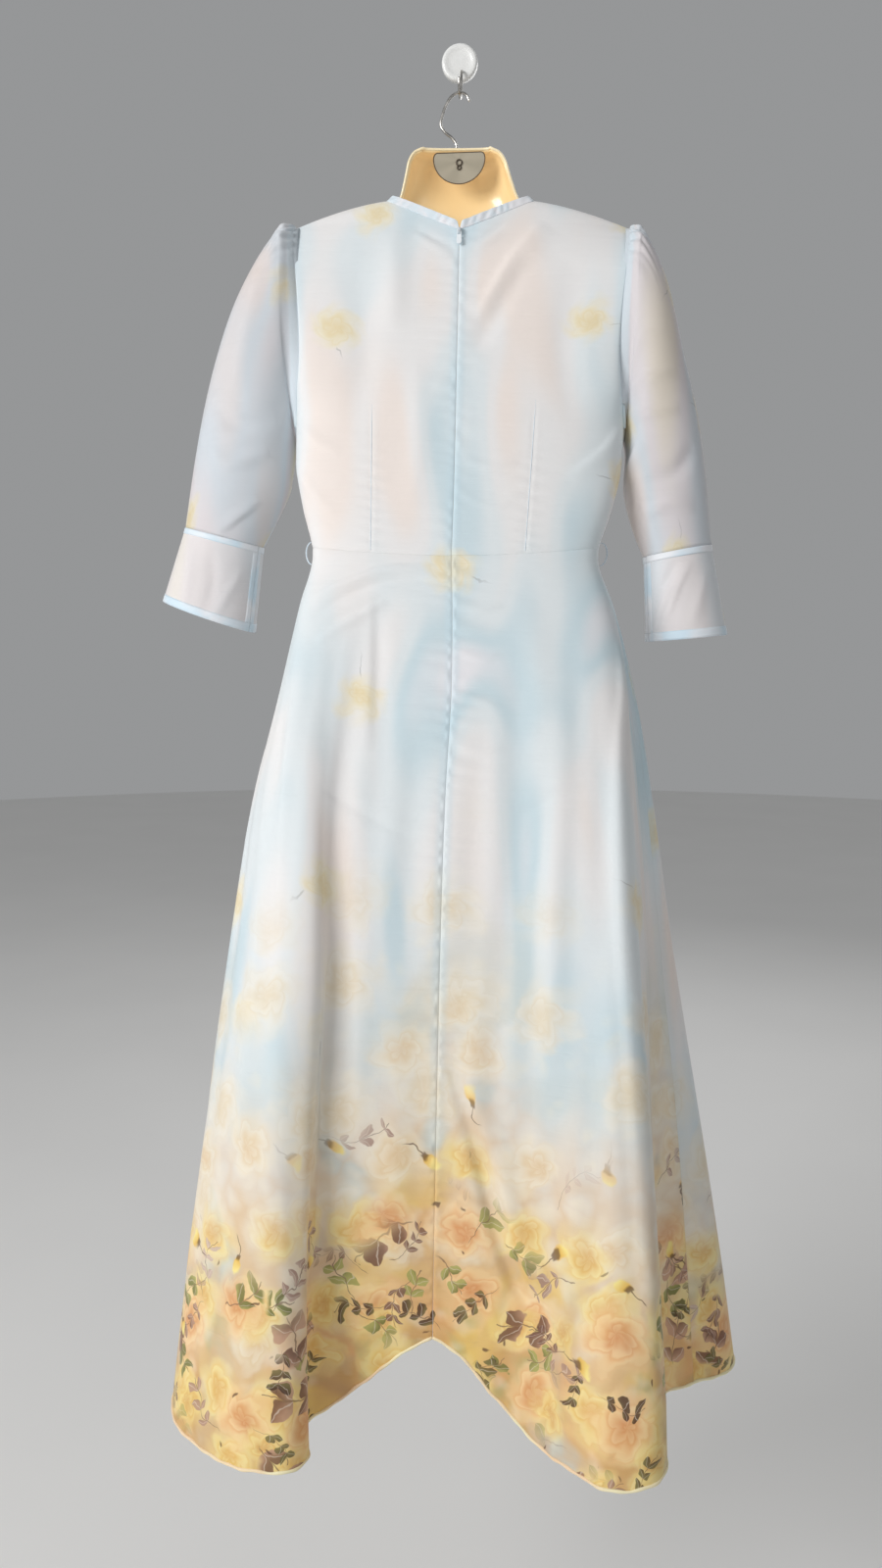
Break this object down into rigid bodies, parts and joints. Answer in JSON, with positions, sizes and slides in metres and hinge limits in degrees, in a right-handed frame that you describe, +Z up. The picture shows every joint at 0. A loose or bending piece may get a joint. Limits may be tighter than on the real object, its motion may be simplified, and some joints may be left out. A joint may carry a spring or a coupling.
{
  "type": "maxi dress hung on a hollow half-torso dress form",
  "caption": "Long flared maxi dress with sheer elbow sleeves and cuffs, zipped up the back, hung on a hollow half-torso form from a round wall hook.",
  "frame": {"origin": "centre of the wall hook disc's flat back face, which lies on the wall", "axes": "+Z up, +Y into the wall, so the dress's back, with its zip, faces -Y; +X is to the right of someone looking at the zip"},
  "size_m": [0.6893, 0.4374, 1.5331],
  "materials": {
    "printed_cloth": "light woven cloth, printed",
    "sheer_cloth": "thin see-through woven cloth",
    "neck_cloth": "bias-cut band of the same cloth",
    "thread": "worked thread",
    "cream_plastic": "glossy, moulded",
    "grey_plate": "satin",
    "hook_metal": "bright wire",
    "white_plastic": "smooth",
    "slider_metal": "satin",
    "tab_paint": "smooth enamel"
  },
  "bodies": {
    "dress": {"belt_loop_left": "thread", "belt_loop_right": "thread", "bodice_back_left": "printed_cloth", "bodice_back_right": "printed_cloth", "bodice_front": "printed_cloth", "cuff_left": "sheer_cloth", "cuff_right": "sheer_cloth", "hanger_hook": "hook_metal", "hook_plate": "grey_plate", "neck_binding": "neck_cloth", "skirt_back_left": "printed_cloth", "skirt_back_right": "printed_cloth", "skirt_front": "printed_cloth", "sleeve_left": "sheer_cloth", "sleeve_right": "sheer_cloth", "torso_form": "cream_plastic", "wall_hook_arm": "hook_metal", "wall_hook_disc": "white_plastic", "zip_slider": "slider_metal"},
    "pull_tab": {"zip_pull_tab": "tab_paint"}
  },
  "joints": [
    {"name": "pull_tab_hinge", "type": "hinge", "parent": "dress", "child": "pull_tab", "pos_m": [0.00505, -0.07774, -0.21163], "axis": [-1, 0, 0], "range_deg": [0, 150]}
  ]
}
